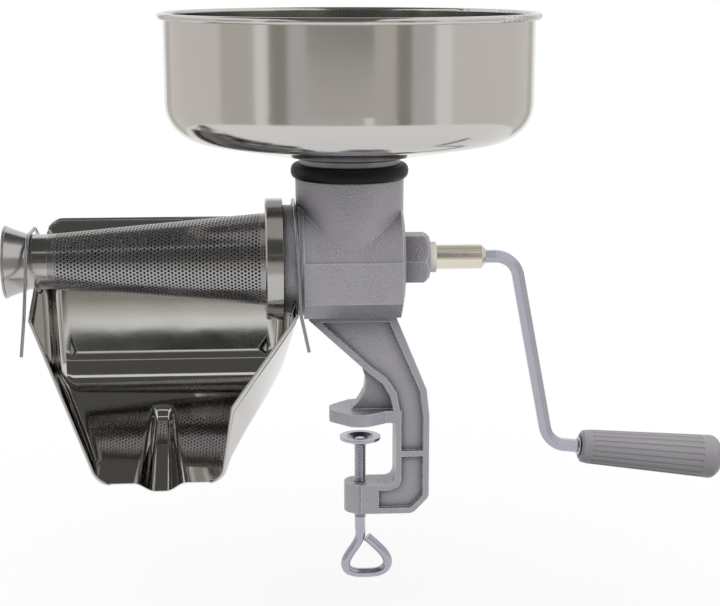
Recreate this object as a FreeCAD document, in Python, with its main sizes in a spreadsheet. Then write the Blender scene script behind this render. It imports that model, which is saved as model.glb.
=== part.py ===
import FreeCAD, Part
import math
import os
import re
import Sketcher
from FreeCAD import Placement, Rotation, Vector

# Hand-cranked food mill with a table clamp.
# +X runs along the auger shaft towards the crank, +Z is up, and the origin lies on the
# clamp screw's axis, in the flat underside of the upper jaw.

doc = FreeCAD.newDocument("food_mill")
sheet = doc.addObject("Spreadsheet::Sheet", "Sizes")

# Driving dimensions, in millimetres and degrees.
SIZES = {
    # where the shaft and the hopper stand over the clamp
    "shaft_height": 112,
    "hopper_axis_x": -7,
    # cast body: barrel, end wall, crank boss and hopper socket
    "barrel_radius": 37.5,
    "barrel_bore": 31,
    "barrel_left": -38.5,
    "barrel_right": 25.8,
    "end_wall": 8,
    "end_dome": 2,
    "boss_flats": 31.4,
    "boss_length": 18.3,
    "boss_chamfer": 3,
    "socket_rise": 54.2,
    "socket_radius": 36,
    "socket_draft": 0.6,
    "socket_bore": 32.2,
    # cast body: collar that carries the screen and the tray
    "collar_radius": 38,
    "shoulder_width": 3,
    "groove_width": 10,
    "groove_radius": 36,
    "spigot_radius": 33.5,
    "spigot_length": 8,
    "lug_radius": 36.8,
    "lug_width": 3,
    "lug_angle": 50,
    # cast body: clamp frame
    "arm_width": 24,
    "web_thickness": 17,
    "rim_width": 4,
    "arm_back": 46.4,
    "arm_inner": 23.4,
    "jaw_radius": 21,
    "jaw_thickness": 8.5,
    "jaw_bracket": 12,
    "lower_jaw_top": -44,
    "lower_jaw_bottom": -64.5,
    "lower_boss_radius": 11,
    # clamp screw and pad
    "screw_radius": 3.6,
    "screw_clearance": 0.1,
    "pad_radius": 14,
    "pad_top": -12,
    "pad_sheet": 1.8,
    "pad_dish": 3,
    "pad_dish_radius": 6,
    "pad_rim": 9.5,
    "rivet_radius": 2.4,
    "rivet_head": 4.2,
    "rivet_clearance": 0.1,
    "screw_neck": -82,
    "loop_height": 30,
    "loop_left": -11.5,
    "loop_right": 20,
    # crank side: bush, shaft, crank and grip
    "bush_radius": 10.3,
    "bush_proud": 4.6,
    "shaft_radius": 8.3,
    "running_fit": 0.05,
    "grip_fit": 0.12,
    "shaft_end": 84.4,
    "shaft_chamfer": 3,
    "collar_step": 13,
    "thrust_washer": 1.8,
    "thrust_radius": 15,
    "tang_square": 12,
    "tang_length": 16,
    "socket_fit": 0.15,
    "rod_flats": 8,
    "rod_depth": 28,
    "set_screw_radius": 2.5,
    "set_screw_place": 68,
    "crank_reach": 104.4,
    "crank_throw": 132.2,
    "crank_lean": 11.05,
    "crank_bend": 16,
    "grip_droop": 6,
    "grip_standoff": 21,
    "spindle_radius": 3.5,
    "grip_washer_thickness": 1.2,
    "grip_washer_radius": 6.5,
    "grip_length": 100,
    "grip_near_radius": 11.8,
    "grip_far_radius": 14.8,
    "grip_flutes": 20,
    "flute_radius": 1.6,
    "flute_depth": 0.7,
    "retainer_radius": 5,
    "retainer_width": 1.2,
    "spindle_length": 82,
    # screen: ring, perforated cone and flared outlet
    "ring_radius": 40.5,
    "ring_wall": 2.4,
    "ring_length": 11.5,
    "ring_gap": 0.4,
    "seal_thickness": 1.5,
    "cone_flange": 1,
    "cone_sheet": 1,
    "cone_large": 30.9,
    "cone_small": 18.2,
    "cone_length": 144.5,
    "outlet_neck": 13,
    "flare_radius": 24,
    "flare_length": 16,
    # auger
    "auger_pitch": 36,
    "auger_clearance": 1.2,
    "flight_thickness": 4,
    "auger_hub": 15,
    "auger_tip": 7,
    # hopper bowl, spigot and gasket
    "bowl_radius": 120.5,
    "bowl_sheet": 1,
    "bowl_depth": 92.5,
    "bowl_corner": 25,
    "bowl_slope": 10.5,
    "rim_bead": 2.2,
    "neck_radius": 33.6,
    "neck_sheet": 1,
    "neck_rise": 13.3,
    "neck_depth": 18,
    "neck_clearance": 0.4,
    "gasket_height": 10,
    "gasket_radius": 39,
    # drip tray and its wire clips
    "tray_sheet": 1,
    "tray_back": 46,
    "tray_top": 133,
    "tray_fold_y": 30,
    "tray_fold_z": 24.7,
    "tray_fold_left": 5,
    "tray_fold_right": 7.5,
    "tray_lip_y": -48,
    "tray_lip_z": -27,
    "tray_lip_left": -174.4,
    "tray_lip_right": -94,
    "tray_corner_y": -40,
    "tray_corner_z": 81,
    "tray_corner_out": 3,
    "tray_kink_x": -86.6,
    "tray_kink_z": 22,
    "tray_round": 11,
    "ear_length": 5.5,
    "ear_depth": 5,
    "ear_thickness": 1.2,
    "channel_length": 56,
    "channel_narrow": 4.5,
    "channel_wide": 17,
    "channel_depth": 9,
    "notch_length": 30,
    "tray_clearance": 0.5,
    "wire_radius": 1.1,
    "wire_clearance": 0.3,
    "pivot_y": 40.5,
    "pivot_z": 122,
    "wire_tail": 24,
    "clip_bend": 26,
    # lower half of the barrel
    "barrel_side": 38.5,
    "barrel_crease": 115,
    "barrel_chamfer": 88,
    "barrel_foot": 75.5,
}

for row, (alias, number) in enumerate(SIZES.items(), start=1):
    sheet.set(f"A{row}", alias)
    sheet.set(f"B{row}", str(number))
    sheet.setAlias(f"B{row}", alias)
doc.recompute()


def formula(text):
    # Writes a formula in the words of the sheet, for setExpression.
    return re.sub(r"[a-z][a-z_]+", lambda w: f"Sizes.{w[0]}" if w[0] in SIZES else w[0], str(text))


def size(text):
    # The number that a formula in the words of the sheet stands for.
    found = sheet.evalExpression(formula(text))
    return float(getattr(found, "Value", found))


def bind(thing, **sizes):
    # Binds properties to formulas; a double underscore in a name stands for a dot.
    for name, text in sizes.items():
        thing.setExpression(name.replace("__", "."), formula(text))
    return thing


def place(thing, x="0", y="0", z="0"):
    return bind(thing, Placement__Base__x=x, Placement__Base__y=y, Placement__Base__z=z)


def plane(body, role):
    return next(f for f in body.Origin.OriginFeatures if f.Role == role)


def new_body(label):
    body = doc.addObject("PartDesign::Body", label)
    body.Label = label
    return body


def outline(body, role, points, label):
    # A closed sketch of straight lines; each corner is placed by two formulas.
    sketch = body.newObject("Sketcher::SketchObject", label)
    sketch.AttachmentSupport = (plane(body, role), "")
    sketch.MapMode = "FlatFace"
    corners = [Vector(size(x), size(y), 0) for x, y in points]
    count = len(corners)
    for i in range(count):
        sketch.addGeometry(Part.LineSegment(corners[i], corners[(i + 1) % count]), False)
    for i in range(count):
        sketch.addConstraint(Sketcher.Constraint("Coincident", i, 2, (i + 1) % count, 1))
    for i, (x, y) in enumerate(points):
        for kind, text in (("DistanceX", x), ("DistanceY", y)):
            at = sketch.addConstraint(Sketcher.Constraint(kind, -1, 1, i, 1, size(text)))
            sketch.setExpression(f"Constraints[{at}]", formula(text))
    return sketch


def turned(label, points, about="V_Axis"):
    # A turned piece: its half section is drawn in the XZ plane and revolved.
    body = new_body(label)
    sketch = outline(body, "XZ_Plane", points, label + "_section")
    turn = body.newObject("PartDesign::Revolution", label + "_turn")
    turn.Profile = sketch
    turn.ReferenceAxis = (sketch, [about])
    turn.Angle = 360
    body.Tip = turn
    doc.recompute()
    return body


def padded(label, role, points, length, midplane=False):
    # A piece of one thickness, drawn in one of the body's own planes.
    body = new_body(label)
    pad = body.newObject("PartDesign::Pad", label + "_pad")
    pad.Profile = outline(body, role, points, label + "_outline")
    pad.Midplane = midplane
    bind(pad, Length=length)
    body.Tip = pad
    doc.recompute()
    return body


def primitive(kind, label, **sizes):
    return bind(doc.addObject("Part::" + kind, label), **sizes)


def turned_about_x(degrees):
    # Lays a primitive's own axis along +X after a turn about it.
    return Rotation(Vector(0, 1, 0), 90) * Rotation(Vector(0, 0, 1), degrees)


def along_x(thing, x):
    # Lays a primitive's own axis along +X, on the shaft's axis, starting at x.
    thing.Placement = Placement(Vector(0, 0, 0), turned_about_x(0))
    return place(thing, x=x, z="shaft_height")


def fused(label, *pieces, refine=True):
    thing = doc.addObject("Part::MultiFuse", label)
    thing.Shapes = list(pieces)
    thing.Refine = refine
    return thing


def cut(label, base, tool):
    thing = doc.addObject("Part::Cut", label)
    thing.Base, thing.Tool = base, tool
    thing.Refine = True
    return thing


def solid_piece(label, shape):
    thing = doc.addObject("Part::Feature", label)
    thing.Label = label
    thing.Shape = shape
    return thing


def rounded_path(points, bends):
    # Straight runs joined by tangent arcs, with one radius for each corner.
    edges, start = [], points[0]
    for before, corner, after, bend in zip(points, points[1:], points[2:], bends):
        u, v = (before - corner).normalize(), (after - corner).normalize()
        half = u.getAngle(v) / 2
        reach = bend / math.tan(half)
        middle = corner + (u + v).normalize() * (bend / math.sin(half) - bend)
        first, last = corner + u * reach, corner + v * reach
        edges += [Part.LineSegment(start, first).toShape(), Part.Arc(first, middle, last).toShape()]
        start = last
    edges.append(Part.LineSegment(start, points[-1]).toShape())
    return Part.Wire(edges)


def swept(path, section):
    shell = Part.BRepOffsetAPI.MakePipeShell(path)
    shell.add(section)
    shell.build()
    shell.makeSolid()
    return shell.shape()


def round_wire(path, radius):
    start, ahead = path.Edges[0].valueAt(path.Edges[0].FirstParameter), path.Edges[0].tangentAt(0)
    return swept(path, Part.Wire(Part.makeCircle(radius, start, ahead)))


# Places that several pieces share, as formulas along the shaft
SHOULDER = "(barrel_left - shoulder_width)"
GROOVE = "(barrel_left - shoulder_width - groove_width)"
SPIGOT = "(barrel_left - shoulder_width - groove_width - spigot_length)"
CONE = f"({SPIGOT} - seal_thickness)"
CONE_TIP = f"({CONE} - cone_length)"
FLARE = f"({CONE_TIP} - outlet_neck)"
INNER_WALL = "(barrel_right - end_wall)"
BOSS_END = "(barrel_right + end_dome + boss_length)"
BUSH_END = f"({BOSS_END} + bush_proud)"
# and up the hopper's axis
SOCKET_TOP = "(shaft_height + socket_rise)"
NECK_TOP = f"({SOCKET_TOP} + neck_rise)"
BOWL_RIM = f"({NECK_TOP} + bowl_depth)"


def make_clamp_arm():
    # Curved C arm with a raised rim on both sides of a thin web.
    edge = "rim_width"
    body = new_body("clamp_arm")
    outer = [
        ("-35", "barrel_foot + 4"),
        ("24", "barrel_foot + 4"),
        ("24", "barrel_foot - 3"),
        ("arm_back - 2", "23"),
        ("arm_back", "5"),
        ("arm_back", "lower_jaw_bottom + 13"),
        ("arm_back - 1", "lower_jaw_bottom + 10.5"),
        ("arm_back - 9.5", "lower_jaw_bottom + 1.5"),
        ("arm_back - 12.5", "lower_jaw_bottom"),
        ("0", "lower_jaw_bottom"),
        ("0", "lower_jaw_top"),
        ("arm_inner - 5", "lower_jaw_top"),
        ("arm_inner - 1.5", "lower_jaw_top + 1.5"),
        ("arm_inner", "lower_jaw_top + 5"),
        ("arm_inner", "-8"),
        ("arm_inner - 1", "7"),
        ("arm_inner - 3.4", "18"),
        ("arm_inner - 9", "27.5"),
        ("3.4", "36.5"),
        ("-35", "barrel_foot - 3.5"),
    ]
    pad = body.newObject("PartDesign::Pad", "arm_pad")
    pad.Profile = outline(body, "XZ_Plane", outer, "arm_outline")
    pad.Midplane = True
    bind(pad, Length="arm_width")
    body.Tip = pad
    doc.recompute()
    upper = [
        ("-27", "barrel_foot - 5"),
        (f"23 - {edge}", "barrel_foot - 5"),
        (f"arm_back - 2.4 - {edge}", "22"),
        (f"arm_back - {edge}", "4"),
        (f"arm_back - {edge}", "-20"),
        (f"arm_inner + {edge}", "-20"),
        (f"arm_inner + {edge}", "-8"),
        (f"arm_inner + {edge} - 1", "8"),
        (f"arm_inner + {edge} - 3.6", "21"),
        (f"arm_inner + {edge} - 10.5", "31.5"),
        (f"{edge} + 1.4", "40.1"),
    ]
    lower = [
        (f"arm_back - {edge}", "-24"),
        (f"arm_back - {edge}", "lower_jaw_bottom + 13.5"),
        (f"arm_back - {edge} - 0.8", "lower_jaw_bottom + 12"),
        ("arm_back - 11.5", f"lower_jaw_bottom + 0.8 + {edge}"),
        ("arm_back - 13.5", f"lower_jaw_bottom + {edge}"),
        ("lower_boss_radius + 1", f"lower_jaw_bottom + {edge}"),
        ("lower_boss_radius + 1", f"lower_jaw_top - {edge}"),
        ("arm_inner - 4", f"lower_jaw_top - {edge}"),
        (f"arm_inner + {edge} - 2", "lower_jaw_top - 1.5"),
        (f"arm_inner + {edge}", "lower_jaw_top + 3"),
        (f"arm_inner + {edge}", "-24"),
    ]
    for name, points in (("upper", upper), ("lower", lower)):
        for side, back in (("front", False), ("back", True)):
            sketch = outline(body, "XZ_Plane", points, f"{name}_{side}_recess")
            turn = "arm_width / 2" if not back else "-arm_width / 2"
            sketch.setExpression("AttachmentOffset.Base.z", formula(turn))
            pocket = body.newObject("PartDesign::Pocket", f"{name}_{side}_pocket")
            pocket.Profile = sketch
            pocket.Reversed = back
            bind(pocket, Length="(arm_width - web_thickness) / 2")
            body.Tip = pocket
            doc.recompute()
    return body


def make_jaw_bracket():
    # Concave rib that carries the upper jaw under the slanting arm.
    points = [
        ("1.5", "36"),
        ("3.5", "29"),
        ("2.5", "21"),
        ("-1.5", "14"),
        ("-8", "jaw_thickness - 1"),
        ("arm_inner + 1", "jaw_thickness - 1"),
        ("arm_inner - 1", "jaw_thickness + 4"),
        ("arm_inner - 6", "27"),
    ]
    return padded("jaw_bracket_rib", "XZ_Plane", points, "jaw_bracket", True)


def make_body_casting():
    barrel = primitive("Cylinder", "barrel", Radius="barrel_radius", Height="barrel_right - barrel_left")
    along_x(barrel, "barrel_left")
    dome = primitive("Cone", "end_cap", Radius1="barrel_radius", Radius2="barrel_radius - 4", Height="end_dome")
    along_x(dome, "barrel_right")
    boss = doc.addObject("Part::Prism", "crank_boss")
    boss.Polygon = 6
    bind(boss, Circumradius="boss_flats / sqrt(3)", Height="boss_length + end_dome")
    boss.Placement = Placement(Vector(0, 0, 0), turned_about_x(90))
    place(boss, x="barrel_right", z="shaft_height")
    nose = along_x(
        primitive(
            "Cone",
            "boss_nose",
            Radius1="boss_flats * 0.61 + boss_length + end_dome",
            Radius2="boss_flats / 2 - boss_chamfer / 2",
            Height="boss_length + end_dome + boss_flats * 0.11 + boss_chamfer / 2",
        ),
        f"{BOSS_END} - (boss_length + end_dome + boss_flats * 0.11 + boss_chamfer / 2)",
    )
    hexagon = doc.addObject("Part::MultiCommon", "chamfered_boss")
    hexagon.Shapes = [boss, nose]
    socket = primitive(
        "Cone",
        "hopper_socket",
        Radius1="socket_radius - socket_draft",
        Radius2="socket_radius",
        Height="socket_rise",
    )
    place(socket, x="hopper_axis_x", z="shaft_height")
    collars = []
    for name, radius, start, end in (
        ("shoulder", "collar_radius", SHOULDER, "barrel_left"),
        ("groove_floor", "groove_radius", GROOVE, SHOULDER),
        ("screen_spigot", "spigot_radius", SPIGOT, GROOVE),
    ):
        ring = primitive("Cylinder", name, Radius=radius, Height=f"{end} - {start}")
        collars.append(along_x(ring, start))
    for index, turn in enumerate(("90 - lug_angle / 2", "270 - lug_angle / 2")):
        lug = primitive("Cylinder", f"bayonet_lug_{index}", Radius="lug_radius", Height="lug_width")
        bind(lug, Angle="lug_angle")
        lug.Placement = Placement(Vector(0, 0, 0), turned_about_x(size(turn)))
        collars.append(place(lug, x=SPIGOT, z="shaft_height"))
    jaw = padded(
        "upper_jaw",
        "XY_Plane",
        [
            ("-jaw_radius", "-5"),
            ("-jaw_radius + 3", "-9"),
            ("-7", "-jaw_radius + 1"),
            ("-3", "-jaw_radius"),
            ("2", "-jaw_radius"),
            ("6", "-jaw_radius + 1.5"),
            ("17", "-arm_width / 2"),
            ("arm_inner + 4", "-arm_width / 2"),
            ("arm_inner + 4", "arm_width / 2"),
            ("17", "arm_width / 2"),
            ("6", "jaw_radius - 1.5"),
            ("2", "jaw_radius"),
            ("-3", "jaw_radius"),
            ("-7", "jaw_radius - 1"),
            ("-jaw_radius + 3", "9"),
            ("-jaw_radius", "5"),
        ],
        "jaw_thickness",
    )
    belly = padded(
        "barrel_belly",
        "YZ_Plane",
        [
            ("-barrel_side", "barrel_crease"),
            ("-barrel_side", "barrel_chamfer"),
            ("-barrel_side + 8.5", "barrel_foot + 5.5"),
            ("-barrel_side + 16", "barrel_foot"),
            ("barrel_side - 16", "barrel_foot"),
            ("barrel_side - 8.5", "barrel_foot + 5.5"),
            ("barrel_side", "barrel_chamfer"),
            ("barrel_side", "barrel_crease"),
        ],
        "barrel_right - barrel_left",
    )
    place(belly, x="barrel_left")
    tall = "lower_jaw_top - lower_jaw_bottom"
    lower = primitive("Cylinder", "screw_boss", Radius="lower_boss_radius", Height=tall)
    place(lower, z="lower_jaw_bottom")
    mass = fused(
        "casting_mass",
        barrel,
        dome,
        hexagon,
        socket,
        *collars,
        make_clamp_arm(),
        make_jaw_bracket(),
        jaw,
        belly,
        lower,
    )
    bore = primitive("Cylinder", "barrel_hole", Radius="barrel_bore", Height=f"{INNER_WALL} - {SPIGOT} + 5")
    along_x(bore, f"{SPIGOT} - 5")
    throat = primitive("Cylinder", "throat_hole", Radius="barrel_bore - 1", Height="socket_rise - thrust_radius")
    place(throat, x="hopper_axis_x", z="shaft_height + thrust_radius + 1")
    mouth = primitive("Cylinder", "socket_hole", Radius="socket_bore", Height="neck_depth + 3")
    place(mouth, x="hopper_axis_x", z=f"{SOCKET_TOP} - neck_depth - 2")
    bush_hole = primitive("Cylinder", "bush_hole", Radius="bush_radius")
    bind(bush_hole, Height=f"{BOSS_END} + 2 - {INNER_WALL}")
    along_x(bush_hole, f"{INNER_WALL} - 1")
    deep = "lower_jaw_top - lower_jaw_bottom + 2"
    thread = primitive("Cylinder", "thread_hole", Radius="screw_radius + screw_clearance", Height=deep)
    place(thread, z="lower_jaw_bottom - 1")
    casting = mass
    for index, hole in enumerate((bore, throat, mouth, bush_hole, thread)):
        casting = cut(f"casting_cut_{index}", casting, hole)
    casting.Label = "body_casting"
    return casting


def make_bush():
    inner = "shaft_radius + running_fit"
    outer = "bush_radius"
    points = [(INNER_WALL, inner), (BUSH_END, inner), (BUSH_END, outer), (INNER_WALL, outer)]
    return place(turned("shaft_bush", points, "H_Axis"), z="shaft_height")


def make_thrust_washer():
    near = f"{INNER_WALL} - thrust_washer"
    inner = "shaft_radius + running_fit + 0.2"
    points = [(near, inner), (INNER_WALL, inner), (INNER_WALL, "thrust_radius"), (near, "thrust_radius")]
    return place(turned("thrust_washer", points, "H_Axis"), z="shaft_height")


def make_drive_shaft():
    # Stepped shaft: square tang for the auger, thrust collar, journal and a hex socket for the crank.
    step = f"({INNER_WALL} - thrust_washer - 0.2)"
    back = f"({step} - 4)"
    points = [
        (back, "0"),
        (back, "collar_step"),
        (step, "collar_step"),
        (step, "shaft_radius"),
        ("shaft_end - shaft_chamfer", "shaft_radius"),
        ("shaft_end", "shaft_radius - shaft_chamfer"),
        ("shaft_end", "0"),
    ]
    core = place(turned("shaft_core", points, "H_Axis"), z="shaft_height")
    tang = primitive("Box", "shaft_tang", Length="tang_length", Width="tang_square", Height="tang_square")
    place(tang, x=f"{back} - tang_length", y="-tang_square / 2", z="shaft_height - tang_square / 2")
    socket = doc.addObject("Part::Prism", "crank_socket")
    socket.Polygon = 6
    bind(socket, Circumradius="rod_flats / sqrt(3) + socket_fit", Height="rod_depth + 1")
    socket.Placement = Placement(Vector(0, 0, 0), turned_about_x(90))
    place(socket, x="shaft_end - rod_depth", z="shaft_height")
    grub = primitive("Cylinder", "set_screw_hole", Radius="set_screw_radius", Height="shaft_radius + 2")
    grub.Placement = Placement(Vector(0, 0, 0), Rotation(Vector(1, 0, 0), -90))
    place(grub, x="set_screw_place", z="shaft_height")
    blank, holes = fused("shaft_blank", core, tang), fused("shaft_holes", socket, grub, refine=False)
    shaft = cut("drive_shaft", blank, holes)
    shaft.Label = "drive_shaft"
    return shaft


def make_set_screw():
    reach = size("rod_flats / sqrt(3)") + 0.3
    end = size("shaft_radius") - 0.4
    radius = size("set_screw_radius")
    pin = Part.makeCylinder(radius, end - reach, Vector(0, reach, 0), Vector(0, 1, 0))
    slot = Part.makeBox(2 * radius, 1.0, 0.8, Vector(-radius, end - 0.8, -0.4))
    piece = solid_piece("crank_set_screw", pin.cut(slot))
    return place(piece, x="set_screw_place", z="shaft_height")


def cone_radius(x):
    # Inner radius of the screen cone at a place along the shaft, and of the bore before it.
    large, small = size("cone_large - cone_sheet"), size("cone_small - cone_sheet")
    part = (size(CONE) - x) / size("cone_length")
    return large if part < 0 else large + (small - large) * min(part, 1)


def spun(points):
    # A solid turned about the X axis from a half section.
    solid = Part.Face(Part.makePolygon(points + points[:1])).revolve(Vector(0, 0, 0), Vector(1, 0, 0), 360)
    return solid if solid.Volume > 0 else solid.reversed()


def flight_solid(left, right):
    # The auger's left-hand flight, in flat facets, from its small end to its large end.
    pitch, thick, steps = size("auger_pitch"), size("flight_thickness"), 16
    inner, clearance = size("auger_tip") - 2, size("auger_clearance")
    count = int((right - thick - left) / pitch * steps)
    rows = []
    for i in range(count + 1):
        x, angle = left + pitch * i / steps, -2 * math.pi * i / steps
        outer = min(cone_radius(x), cone_radius(x + thick)) - clearance
        row = []
        for radius, step in ((inner, 0), (outer, 0), (outer, thick), (inner, thick)):
            row.append(Vector(x + step, radius * math.cos(angle), radius * math.sin(angle)))
        rows.append(row)
    faces = []
    for near, far in zip(rows, rows[1:]):
        for i in range(4):
            a, b, c, d = near[i], near[(i + 1) % 4], far[(i + 1) % 4], far[i]
            faces += [Part.Face(Part.makePolygon([a, b, c, a])), Part.Face(Part.makePolygon([a, c, d, a]))]
    for row in (rows[0], rows[-1]):
        faces.append(Part.Face(Part.makePolygon(row + row[:1])))
    solid = Part.Solid(Part.makeShell(faces))
    return solid if solid.Volume > 0 else solid.reversed()


def make_auger():
    # A left-hand flight on a tapering core; it fills the bore and then the cone.
    right = size(f"{INNER_WALL} - thrust_washer - 0.2") - 4.3
    left = size(CONE_TIP) + 6
    core = [
        Vector(left - 4, 0, 0),
        Vector(left - 4, 0, size("auger_tip") - 2),
        Vector(left, 0, size("auger_tip")),
        Vector(right, 0, size("auger_hub")),
        Vector(right, 0, 0),
    ]
    square, deep = size("tang_square + 2 * socket_fit"), size("tang_length") + 1
    socket = Part.makeBox(deep, square, square, Vector(right - deep + 1, -square / 2, -square / 2))
    auger = spun(core).fuse(flight_solid(left, right)).cut(socket)
    whole = max(auger.Solids, key=lambda s: s.Volume)
    return place(solid_piece("auger", whole), z="shaft_height")


def grip_frame():
    # Corners of the crank's middle line, and the direction that the grip points in.
    lean, droop = math.radians(size("crank_lean")), math.radians(size("grip_droop"))
    top = Vector(size("crank_reach"), 0, 0)
    bottom = top + Vector(math.tan(lean), 0, -1) * size("crank_throw")
    return top, bottom, Vector(math.cos(droop), 0, -math.sin(droop))


def grip_place(distance):
    # Stands a piece made along +Z from the origin on the grip's axis, beyond the crank's lower corner.
    _, bottom, ahead = grip_frame()
    return Placement(bottom + ahead * distance, Rotation(Vector(0, 0, 1), ahead))


def on_grip(label, shape, distance):
    piece = solid_piece(label, shape)
    piece.Placement = Placement(Vector(0, 0, size("shaft_height")), Rotation()) * grip_place(distance)
    return piece


def make_crank_arm():
    # Hexagonal bar bent twice; its end is turned down to a spindle for the grip.
    top, bottom, ahead = grip_frame()
    start = Vector(size("shaft_end - rod_depth") + 0.5, 0, 0)
    end = bottom + ahead * size("grip_standoff")
    corner = size("rod_flats") / math.sqrt(3)
    turns = [i * math.pi / 3 for i in range(7)]
    ring = [Vector(start.x, corner * math.cos(a), corner * math.sin(a)) for a in turns]
    bar = swept(rounded_path([start, top, bottom, end], [size("crank_bend")] * 2), Part.makePolygon(ring))
    spindle = Part.makeCylinder(size("spindle_radius"), size("spindle_length"))
    deep = Vector(0, 0, size("spindle_length") - 4)
    groove = Part.makeCylinder(size("spindle_radius") + 1, size("retainer_width"), deep)
    groove = groove.cut(Part.makeCylinder(size("spindle_radius") - 0.5, size("spindle_length")))
    spindle = spindle.cut(groove)
    spindle.Placement = grip_place(size("grip_standoff"))
    return place(solid_piece("crank_arm", bar.fuse(spindle)), z="shaft_height")


def make_grip_washer():
    hole = size("spindle_radius") + 0.1
    ring = Part.makeCylinder(size("grip_washer_radius"), size("grip_washer_thickness"))
    ring = ring.cut(Part.makeCylinder(hole, size("grip_washer_thickness")))
    return on_grip("grip_washer", ring, size("grip_standoff"))


def make_retainer():
    ring = Part.makeCylinder(size("retainer_radius"), size("retainer_width"))
    ring = ring.cut(Part.makeCylinder(size("spindle_radius") - 0.5, size("retainer_width")))
    return on_grip("grip_retainer", ring, size("grip_standoff + spindle_length") - 4)


def make_grip():
    # Fluted handle, blind at its rounded far end, with a recess for the washer.
    near, far, length = size("grip_near_radius"), size("grip_far_radius"), size("grip_length")
    start = size("grip_washer_thickness") + 0.3
    points = [
        Vector(0, 0, 2),
        Vector(near - 3, 0, 0),
        Vector(near - 0.8, 0, 1.5),
        Vector(near, 0, 6),
        Vector(far, 0, length - 13),
    ]
    nose = [Vector(far - 0.6, 0, length - 5), Vector(far * 0.62, 0, length - 0.6), Vector(0, 0, length)]
    dome = Part.BSplineCurve()
    slope = Vector(far - near, 0, length - 19).normalize()
    dome.interpolate([points[-1], *nose], InitialTangent=slope, FinalTangent=Vector(-1, 0, 0))
    edges = [Part.LineSegment(a, b).toShape() for a, b in zip(points, points[1:])]
    edges += [dome.toShape(), Part.LineSegment(nose[-1], points[0]).toShape()]
    handle = Part.Face(Part.Wire(edges)).revolve(Vector(0, 0, 0), Vector(0, 0, 1), 360)
    taper = math.degrees(math.atan2(far - near, length - 19))
    flute = Part.makeCylinder(size("flute_radius"), length - 24)
    flute = flute.fuse(Part.makeSphere(size("flute_radius"))).fuse(
        Part.makeSphere(size("flute_radius"), Vector(0, 0, length - 24))
    )
    flutes = []
    for i in range(int(size("grip_flutes"))):
        copy = flute.copy()
        out = near + size("flute_radius - flute_depth") + 0.25
        lay = Placement(Vector(out, 0, 8), Rotation(Vector(0, 1, 0), taper))
        turn = Rotation(Vector(0, 0, 1), 360 * i / size("grip_flutes"))
        copy.Placement = Placement(Vector(0, 0, 0), turn) * lay
        flutes.append(copy)
    handle = handle.cut(flutes)
    bore = size("spindle_radius + grip_fit")
    tip = size("spindle_length") - start + 2
    clip_room = size("retainer_radius") + 0.3
    holes = [
        Part.makeCylinder(bore, tip + 2, Vector(0, 0, -2)),
        Part.makeCylinder(clip_room, size("retainer_width") + 1, Vector(0, 0, tip - 6.5)),
        Part.makeCylinder(size("grip_washer_radius") + 0.5, 0.6, Vector(0, 0, -0.3)),
    ]
    return on_grip("crank_grip", handle.cut(holes).Solids[0], size("grip_standoff") + start)


def make_screen_ring():
    inner = "ring_radius - ring_wall"
    left = f"({GROOVE} - ring_gap - ring_length)"
    seat = f"({CONE} - cone_flange)"
    points = [
        (left, "cone_large + 0.3"),
        (left, "ring_radius - 1"),
        (f"{left} + 1", "ring_radius"),
        (f"{GROOVE} - ring_gap", "ring_radius"),
        (f"{GROOVE} - ring_gap", inner),
        (seat, inner),
        (seat, "cone_large + 0.3"),
    ]
    ring = place(turned("ring_band", points, "H_Axis"), z="shaft_height")
    pieces = [ring]
    for index, turn in enumerate(("90 - lug_angle / 2", "270 - lug_angle / 2")):
        tab = primitive("Cylinder", f"ring_tab_{index}", Radius=f"{inner} + 0.5", Height="lug_width - 0.6")
        bind(tab, Angle="lug_angle")
        tab.Placement = Placement(Vector(0, 0, 0), turned_about_x(size(turn)))
        pieces.append(place(tab, x=f"{SPIGOT} + lug_width + 0.3", z="shaft_height"))
    clear = primitive("Cylinder", "tab_clearance", Radius="spigot_radius + 0.4", Height="3 * groove_width")
    along_x(clear, SPIGOT)
    tabs = cut("ring_tabs", fused("tab_blank", *pieces[1:]), clear)
    whole = fused("screen_ring", ring, tabs)
    whole.Label = "screen_ring"
    return whole


def make_seal():
    points = [(CONE, "barrel_bore"), (SPIGOT, "barrel_bore"), (SPIGOT, "lug_radius"), (CONE, "lug_radius")]
    return place(turned("screen_seal", points, "H_Axis"), z="shaft_height")


def make_screen_cone():
    points = [
        (CONE, "cone_large - cone_sheet"),
        (CONE, "ring_radius - ring_wall - 0.3"),
        (f"{CONE} - cone_flange", "ring_radius - ring_wall - 0.3"),
        (f"{CONE} - cone_flange", "cone_large"),
        (CONE_TIP, "cone_small"),
        (CONE_TIP, "cone_small - cone_sheet"),
    ]
    return place(turned("screen_cone", points, "H_Axis"), z="shaft_height")


def make_outlet():
    # Plain neck and flared horn that let the skins and seeds out.
    points = [
        (CONE_TIP, "cone_small - cone_sheet"),
        (CONE_TIP, "cone_small"),
        (FLARE, "cone_small"),
        (f"{FLARE} - flare_length", "flare_radius"),
        (f"{FLARE} - flare_length", "flare_radius - cone_sheet"),
        (FLARE, "cone_small - cone_sheet"),
    ]
    return place(turned("screen_outlet", points, "H_Axis"), z="shaft_height")


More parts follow.
